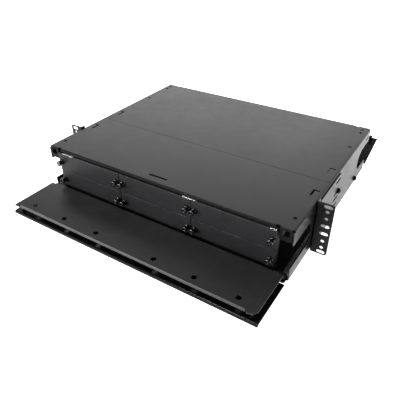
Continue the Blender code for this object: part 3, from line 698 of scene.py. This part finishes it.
def drawer_tray():
    """One blank: lip up, apron, step down, base and rear upstand."""
    low, high = TRAY_LOW, TRAY_HIGH
    half = high.x
    apron_z = APRON_TOP - THIN / 2
    base_z = low.z + THIN / 2
    step = APRON_REAR - THIN / 2
    drop = apron_z - base_z
    rear_line = high.y - THIN / 2 + drop      # flat places are further back by the step's height
    rear_edge = rear_line + UPSTAND - base_z
    front = low.y
    fold_y = front + 0.1
    lip = fold_y - LIP_FLAT
    narrow = TRAY_NARROW

    def half_outline(side):
        """The blank's right half, with the front corner of the side it is for."""
        corner = TRAY_CORNER_R[side]
        points = arc((LIP_HALF - 2.5, lip + 2.5), 2.5, -90, 0, 4)
        points += [(LIP_HALF, front + 2.2), (LIP_HALF + 1.0, front + 2.2), (LIP_HALF + 1.2, front)]
        points += arc((half - corner, front + corner), corner, -90, 0, 12)
        points += [(half, step - 3.0), (narrow, step - 3.0), (narrow, step + drop + 3.0),
                   (half, step + drop + 3.0)]
        return points + [(half, rear_line - 3.0), (narrow, rear_line - 3.0), (narrow, rear_edge)]

    tie_y = front + TIE_HOLE_BACK
    holes = [circle((x * side, tie_y), TIE_HOLE_R) for x in TIE_HOLE_X for side in (-1, 1)]
    bm = flat_sheet(half_outline(1) + on_side(reversed(half_outline(-1)), -1), holes, THIN)
    shift(bm, (0, 0, apron_z))
    fold(bm, (0, fold_y, apron_z), -Y, Z, radians(112.0), 1.2, where=lambda co: abs(co.x) < LIP_HALF + 0.1)
    fold(bm, (0, step, apron_z), Y, -Z)
    fold(bm, (0, step, base_z), -Z, Y)
    fold(bm, (0, high.y - THIN / 2, base_z), Y, Z)
    piece("tray_shell", bm, TRAY_COAT, "drawer", ["drawer_tray"])


def panel_frame():
    """The bulkhead behind the panels, its four edges folded back, and the tongues over the panels."""
    low, high = FRAME_LOW, FRAME_HIGH
    mid_y = low.y + THIN / 2
    top, foot = high.z - THIN / 2, low.z + THIN / 2
    side = high.x - THIN / 2
    relief = 2.2                              # how far the corners are cut back, clear of the folds
    flange, base_flange = 7.4, 14.0
    right = [(side - relief, foot - base_flange), (side - relief, foot + relief),
             (side + flange, foot + relief), (side + flange, top - relief),
             (side - relief, top - relief), (side - relief, top + flange)]
    wide, tall = FRAME_OPENING[0] / 2, FRAME_OPENING[1] / 2
    holes = []
    for node in PANELS:
        center = middle_mm(node)
        holes.append(round_rect((center.x - wide, center.z - tall), (center.x + wide, center.z + tall), 1.5, 3))
    for tag in PLUNGERS:
        center = middle_mm(f"grommet_{tag}")
        holes.append(circle((center.x, center.z), PLUNGER_HOLE_R))
    bm = flat_sheet(mirrored(right), holes, THIN)
    upright(bm)
    shift(bm, (0, mid_y, 0))
    fold(bm, (0, mid_y, top), Z, Y)
    fold(bm, (0, mid_y, foot), -Z, Y)
    for sign in (-1, 1):
        fold(bm, (side * sign, mid_y, 0), X * sign, Y)
    piece("bulkhead", bm, PANEL_COAT, "drawer", ["panel_frame"])

    nose = box_mm(PANELS[0])[0].y - 0.1
    tongue_z = high.z + 0.55
    tongues = ((-173.0, 24.0, 2.7), (62.0, 22.0, 3.8), (189.0, 9.0, 3.5))     # X, width, tip
    for index, (x, width, tip) in enumerate(tongues):
        bm = flat_sheet(round_rect((x - width / 2, tip), (x + width / 2, 12.5), 0.8, 3), [], 1.0)
        shift(bm, (0, nose - 3.4, tongue_z))
        fold(bm, (0, nose, tongue_z), -Y, -Z, radians(80.0), 1.6)
        piece(f"panel_tongue_{index + 1}", bm, ZINC, "drawer")


def blank_panels():
    """Six blank plates with rounded edges and a hole for a plunger at either end."""
    for node in PANELS:
        low, high = box_mm(node)
        center = (low + high) / 2
        holes = []
        for tag in PLUNGERS:
            spot = middle_mm(f"plunger_{tag}")
            if low.x < spot.x < high.x and low.z < spot.z < high.z:
                holes.append(circle((spot.x, spot.z), PLUNGER_HOLE_R))
        bm = flat_sheet(round_rect((low.x, low.z), (high.x, high.z), 1.5), holes, high.y - low.y, 0.6)
        upright(bm)
        shift(bm, (0, center.y, 0))
        piece(f"{node}_plate", bm, PANEL_COAT, "drawer", [node])


def plungers():
    """A knob on a pin in each grommet.  Profiles are measured from the panel's face."""
    bush = [(1.75, 2.6), (4.3, 2.6), (4.8, 1.9), (4.8, 0.02), (3.0, 0.02), (3.0, -5.0), (2.2, -5.6),
            (1.75, -5.6)]
    knob = [(0, -6.8), (1.4, -6.2), (1.4, 2.9), (3.5, 2.9), (3.5, 4.5), (4.5, 5.5), (4.5, 8.0), (3.7, 8.6),
            (1.6, 8.6), (1.3, 8.3), (0, 8.3)]
    for tag in PLUNGERS:
        low, high = box_mm(f"grommet_{tag}")
        center = (low + high) / 2
        face = high.y - 5.6                   # the grommet's flange meets the panel here
        bm = aimed(turned(rounded_profile(bush, 0.7), 28), (center.x, face, center.z), -Y)
        piece(f"bush_{tag}", bm, NYLON, "drawer", [f"grommet_{tag}"])
        bm = aimed(turned(rounded_profile(knob, 0.9), 28), (center.x, face, center.z), -Y)
        piece(f"knob_{tag}", bm, NYLON, f"plunger_{tag}", [f"plunger_{tag}"])


# ---------------------------------------------------------------- doors

def door_pose(which):
    """World matrix, in metres, of a door's own frame: +Y towards its free edge, +Z into the case."""
    axis = Matrix.Translation(Vector(JOINTS[f"{which}_door_swing"]["pos_m"]))
    if which == "front":
        return axis @ Matrix.Rotation(pi, 4, "Z")
    return axis @ Matrix.Rotation(REAR_TILT, 4, "X")


def door(which):
    """A sheet door: a lip along its free edge and two rolled knuckles at each hinge."""
    mid = (DOOR_V[0] + DOOR_V[1]) / 2
    thick = DOOR_V[1] - DOOR_V[0]
    free = DOOR_U[1] - 0.6                    # the fold line of the lip, on the sheet's middle
    edge = free + mid - DOOR_LIP_V
    roll_r = mid
    roll = radians(285.0)
    root = DOOR_U[0]
    tail = -roll * roll_r                     # flat place of a knuckle's rolled end
    right = []
    for near, far in KNUCKLES:
        low, high = HINGE_X + near, HINGE_X + far
        right += [(low, root), (low, tail), (high, tail), (high, root)]
    right += arc((DOOR_HALF - 2, root + 2), 2, -90, 0, 4)
    right += arc((DOOR_HALF - 1.5, edge - 1.5), 1.5, 0, 90, 4)
    holes = [circle((LATCH_X * side, LATCH_U), LATCH_HOLE_R) for side in (-1, 1)]
    bm = flat_sheet(mirrored(right), holes, thick)
    shift(bm, (0, 0, mid))
    fold(bm, (0, free, mid), Y, -Z, radius=1.2)
    bend(bm, (0, 0, mid), -Y, -Z, roll, roll_r, roll * roll_r, steps=20)
    body = f"{which}_door"
    piece(f"{body}_leaf", bm, DOOR_COAT, body, [body], door_pose(which), shaded_face_material=SHADED_END_COAT)

    profile = rounded_profile([(0, -1.0), (5.4, -1.0), (6.0, -0.5), (6.0, 1.0), (3.1, 1.0), (3.1, 11.0),
                               (2.2, 12.6), (0, 12.6)], 0.4)
    for hand, side in SIDES:
        door_side = -side if which == "front" else side
        bm = aimed(turned(profile, 32), (LATCH_X * door_side, LATCH_U, 0), Z)
        name = f"{which}_latch_{hand}"
        piece(f"{name}_knob", bm, NYLON, name, [name], door_pose(which))


# ---------------------------------------------------------------- CAD nodes kept as they are

def refine(node, material, width):
    """Gives a CAD node its finish and rounds its edges."""
    obj = frame["nodes"][node]
    obj.data.materials.clear()
    obj.data.materials.append(material)
    weld = obj.modifiers.new("Weld", "WELD")
    weld.merge_threshold = 1e-6
    rounding = obj.modifiers.new("Rounding", "BEVEL")
    rounding.width = width * MM
    rounding.segments = 2
    rounding.limit_method = "ANGLE"
    rounding.angle_limit = radians(40.0)
    normals = obj.modifiers.new("Weighted normals", "WEIGHTED_NORMAL")
    normals.weight = 80


def kept_nodes():
    for hand, _ in SIDES:
        refine(f"drawer_guide_{hand}", ZINC, 0.2)
        refine(f"fibre_spool_{hand}", NYLON, 0.4)
        for end in ("front", "rear"):
            refine(f"{end}_hinge_leaf_{hand}", ZINC, 0.15)
            refine(f"{end}_hinge_pin_{hand}", ZINC, 0.2)
    refine("splice_tray", WHITE_PLASTIC, 0.4)
    refine("splice_tray_lid", WHITE_PLASTIC, 0.4)


# ---------------------------------------------------------------- stage

def studio():
    """A glowing white floor, a sky that darkens upwards and is brightest behind, and three soft boxes."""
    floor_bm = bmesh.new()
    bmesh.ops.create_grid(floor_bm, x_segments=2, y_segments=2, size=6.0)
    mesh = bpy.data.meshes.new("floor")
    floor_bm.to_mesh(mesh)
    floor_bm.free()
    floor = bpy.data.objects.new("floor", mesh)
    floor.location.z = -0.0002
    bpy.context.scene.collection.objects.link(floor)
    mat, tree, shader, coords = new_material("floor_paper")
    tint = blend_colour(tree, noise(tree, coords, 3.0, 3.0), (0.90, 0.90, 0.90), (0.93, 0.93, 0.93))
    set_inputs(tree, shader, Base_Color=tint, Roughness=0.9, Emission_Color=(1.0, 1.0, 1.0, 1.0),
               Emission_Strength=FLOOR_GLOW)
    mesh.materials.append(mat)

    world = bpy.data.worlds.new("studio")
    world.use_nodes = True
    tree = world.node_tree
    direction = add(tree, "TexCoord").outputs["Generated"]
    height = add(tree, "SeparateXYZ", Vector=direction).outputs["Z"]
    ramp = add(tree, "ValToRGB", Fac=height)
    stops = ramp.color_ramp.elements
    stops[0].position, stops[0].color = SKY[0][0], (*[SKY[0][1]] * 3, 1.0)
    stops[1].position, stops[1].color = SKY[-1][0], (*[SKY[-1][1]] * 3, 1.0)
    for position, level in SKY[1:-1]:
        stops.new(position).color = (level, level, level, 1.0)
    background = tree.nodes["Background"]
    tree.links.new(ramp.outputs["Color"], background.inputs["Color"])
    facing = add(tree, "VectorMath", {"operation": "DOT_PRODUCT"})
    tree.links.new(direction, facing.inputs[0])
    facing.inputs[1].default_value = BRIGHT_SIDE
    tree.links.new(remap(tree, facing.outputs["Value"], *SKY_SWING), background.inputs["Strength"])
    backdrop = add(tree, "Background", Color=(1.0, 1.0, 1.0, 1.0), Strength=1.0)    # what the camera sees
    split = add(tree, "MixShader", Fac=add(tree, "LightPath").outputs["Is Camera Ray"])
    tree.links.new(background.outputs["Background"], split.inputs[1])
    tree.links.new(backdrop.outputs["Background"], split.inputs[2])
    tree.links.new(split.outputs["Shader"], tree.nodes["World Output"].inputs["Surface"])
    bpy.context.scene.world = world

    for name, place, target, size, power in LAMPS:
        data = bpy.data.lights.new(name, "AREA")
        data.shape = "RECTANGLE"
        data.size, data.size_y = size
        data.energy = power
        lamp = bpy.data.objects.new(name, data)
        lamp.location = place
        lamp.rotation_euler = (Vector(target) - Vector(place)).to_track_quat("-Z", "Y").to_euler()
        bpy.context.scene.collection.objects.link(lamp)


def camera():
    """The camera's place and aim, in metres and degrees."""
    data = bpy.data.cameras.new("camera")
    data.sensor_width = 36.0
    data.lens = 39.49
    data.clip_start = 0.05
    data.clip_end = 20.0
    obj = bpy.data.objects.new("camera", data)
    yaw, pitch, roll = radians(32.98), radians(-34.43), radians(-0.59)
    obj.matrix_world = (Matrix.Translation((0.3459, -0.5812, 0.4156)) @ Matrix.Rotation(yaw, 4, "Z")
                        @ Matrix.Rotation(pi / 2 + pitch, 4, "X") @ Matrix.Rotation(roll, 4, "Z"))
    bpy.context.scene.collection.objects.link(obj)
    bpy.context.scene.camera = obj
    bpy.context.scene.view_settings.view_transform = "Standard"


chassis_pan()
cover("top_front", "front_cover", FRONT, box_mm("front_cover")[1].y, FRONT + 86.0, (FRONT + 26.0,))
cover("top_rear", "rear_cover", REAR, box_mm("rear_cover")[0].y, FRONT + 155.0,
      (FRONT + 253.0, FRONT + 314.0, FRONT + 327.0))
for ear_hand, ear_side in SIDES:
    rack_ear(ear_hand, ear_side)
wall_rivets()
drawer_tray()
panel_frame()
blank_panels()
plungers()
door("front")
door("rear")
kept_nodes()
studio()
camera()
